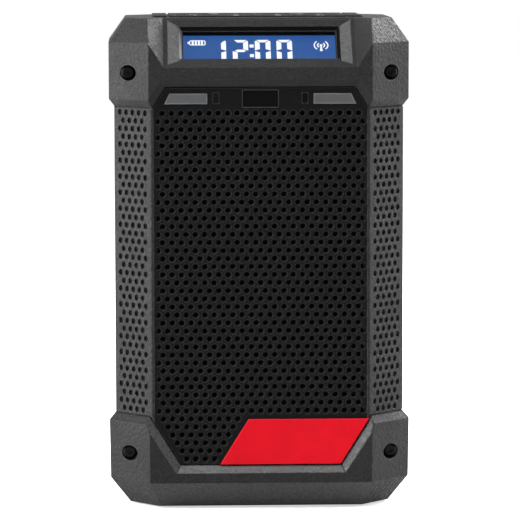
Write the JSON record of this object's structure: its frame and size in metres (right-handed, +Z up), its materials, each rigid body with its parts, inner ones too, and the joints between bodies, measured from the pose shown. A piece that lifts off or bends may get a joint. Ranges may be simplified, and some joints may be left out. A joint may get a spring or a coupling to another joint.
{
  "type": "jobsite radio",
  "caption": "Compact upright jobsite radio with corner guards, perforated speaker panel, sloping clock display, rear battery pack and folding carry handle.",
  "frame": {"origin": "middle of the footprint, on the plane the feet rest on", "axes": "+Z up, the speaker panel and display face -Y, +X to the right seen from the front"},
  "size_m": [0.1572, 0.1244, 0.2558],
  "materials": {
    "housing_plastic": "fine moulded grain",
    "panel_plastic": "fine moulded grain",
    "inner_plastic": "plain",
    "battery_plastic": "moulded grain",
    "red_plastic": "semi gloss",
    "frosted_plastic": "frosted",
    "clear_plastic": "clear",
    "display_glass": "backlit",
    "key_rubber": "satin",
    "soft_rubber": "matte",
    "speaker_cloth": "woven",
    "cone_paper": "pressed",
    "black_steel": "black oxide",
    "black_pressing": "painted",
    "zinc_steel": "zinc plated",
    "contact_metal": "bright",
    "magnet": "ground",
    "cell_wrap": "shrink wrap",
    "circuit_board": "solder resist"
  },
  "bodies": {
    "root": {"front_shell": "housing_plastic", "rear_shell": "housing_plastic", "top_guard": "housing_plastic", "bottom_guard": "housing_plastic", "front_panel": "panel_plastic", "key_panel": "panel_plastic", "display_frame": "panel_plastic", "handle_pins": "zinc_steel", "shell_screws": "black_steel", "guard_screws_front": "black_steel", "guard_screws_rear": "black_steel", "rubber_feet": "soft_rubber", "badge_plate": "red_plastic", "light_pipe_left": "frosted_plastic", "light_pipe_right": "frosted_plastic", "light_board": "circuit_board", "display_lens": "clear_plastic", "lcd_glass": "display_glass", "display_board": "circuit_board", "key_board": "circuit_board", "grille_cloth": "speaker_cloth", "shell_seals": "soft_rubber", "board_screws": "zinc_steel", "driver_screws": "black_steel", "speaker_baffle": "inner_plastic", "woofer_basket": "black_pressing", "woofer_magnet": "magnet", "woofer_surround": "soft_rubber", "radiator_frame": "inner_plastic", "radiator_surround": "soft_rubber", "battery_dock": "inner_plastic", "dock_terminals": "contact_metal", "ac_inlet": "inner_plastic", "inlet_pins": "contact_metal", "usb_socket": "contact_metal", "audio_jack": "inner_plastic", "main_board": "circuit_board", "power_board": "circuit_board"},
    "handle": {"carry_handle": "housing_plastic", "handle_grip": "soft_rubber"},
    "battery": {"battery_case": "battery_plastic", "battery_cap": "red_plastic", "battery_cells": "cell_wrap"},
    "latch_left": {"battery_latch_left": "battery_plastic"},
    "latch_right": {"battery_latch_right": "battery_plastic"},
    "port_flap": {"port_cover": "soft_rubber"},
    "woofer": {"woofer_cone": "cone_paper"},
    "radiator": {"radiator_plate": "inner_plastic"},
    "preset_key_1": {"preset_key_1": "key_rubber"},
    "preset_key_2": {"preset_key_2": "key_rubber"},
    "preset_key_3": {"preset_key_3": "key_rubber"},
    "preset_key_4": {"preset_key_4": "key_rubber"},
    "volume_down_key": {"volume_down_key": "key_rubber"},
    "volume_up_key": {"volume_up_key": "key_rubber"},
    "tune_down_key": {"tune_down_key": "key_rubber"},
    "tune_up_key": {"tune_up_key": "key_rubber"},
    "power_key": {"power_key": "key_rubber"},
    "source_key": {"source_key": "key_rubber"}
  },
  "joints": [
    {"name": "handle_hinge", "type": "hinge", "parent": "root", "child": "handle", "pos_m": [0, 0.0556, 0.248], "axis": [1, 0, 0], "range_deg": [0, 180]},
    {"name": "battery_slide", "type": "slide", "parent": "root", "child": "battery", "axis": [0, 1, 0], "range_m": [0, 0.086]},
    {"name": "latch_left_press", "type": "slide", "parent": "battery", "child": "latch_left", "axis": [1, 0, 0], "range_m": [0, 0.0016], "stiffness_N_per_m": 3000},
    {"name": "latch_right_press", "type": "slide", "parent": "battery", "child": "latch_right", "axis": [-1, 0, 0], "range_m": [0, 0.0016], "stiffness_N_per_m": 3000},
    {"name": "port_flap_hinge", "type": "hinge", "parent": "root", "child": "port_flap", "pos_m": [-0.0364, 0.0475, 0.086], "axis": [0, 0, -1], "range_deg": [0, 105]},
    {"name": "woofer_stroke", "type": "slide", "parent": "root", "child": "woofer", "axis": [0, -1, 0], "range_m": [-0.0015, 0.0015], "stiffness_N_per_m": 1200, "deforming": ["woofer_surround"]},
    {"name": "radiator_stroke", "type": "slide", "parent": "root", "child": "radiator", "axis": [0, -1, 0], "range_m": [-0.0015, 0.0015], "stiffness_N_per_m": 700, "deforming": ["radiator_surround"]},
    {"name": "preset_key_1_press", "type": "slide", "parent": "root", "child": "preset_key_1", "axis": [0, 0, -1], "range_m": [0, 0.0009], "stiffness_N_per_m": 900},
    {"name": "preset_key_2_press", "type": "slide", "parent": "root", "child": "preset_key_2", "axis": [0, 0, -1], "range_m": [0, 0.0009], "stiffness_N_per_m": 900},
    {"name": "preset_key_3_press", "type": "slide", "parent": "root", "child": "preset_key_3", "axis": [0, 0, -1], "range_m": [0, 0.0009], "stiffness_N_per_m": 900},
    {"name": "preset_key_4_press", "type": "slide", "parent": "root", "child": "preset_key_4", "axis": [0, 0, -1], "range_m": [0, 0.0009], "stiffness_N_per_m": 900},
    {"name": "volume_down_key_press", "type": "slide", "parent": "root", "child": "volume_down_key", "axis": [0, 0, -1], "range_m": [0, 0.0009], "stiffness_N_per_m": 900},
    {"name": "volume_up_key_press", "type": "slide", "parent": "root", "child": "volume_up_key", "axis": [0, 0, -1], "range_m": [0, 0.0009], "stiffness_N_per_m": 900},
    {"name": "tune_down_key_press", "type": "slide", "parent": "root", "child": "tune_down_key", "axis": [0, 0, -1], "range_m": [0, 0.0009], "stiffness_N_per_m": 900},
    {"name": "tune_up_key_press", "type": "slide", "parent": "root", "child": "tune_up_key", "axis": [0, 0, -1], "range_m": [0, 0.0009], "stiffness_N_per_m": 900},
    {"name": "power_key_press", "type": "slide", "parent": "root", "child": "power_key", "axis": [0, 0, -1], "range_m": [0, 0.0009], "stiffness_N_per_m": 900},
    {"name": "source_key_press", "type": "slide", "parent": "root", "child": "source_key", "axis": [0, 0, -1], "range_m": [0, 0.0009], "stiffness_N_per_m": 900}
  ]
}
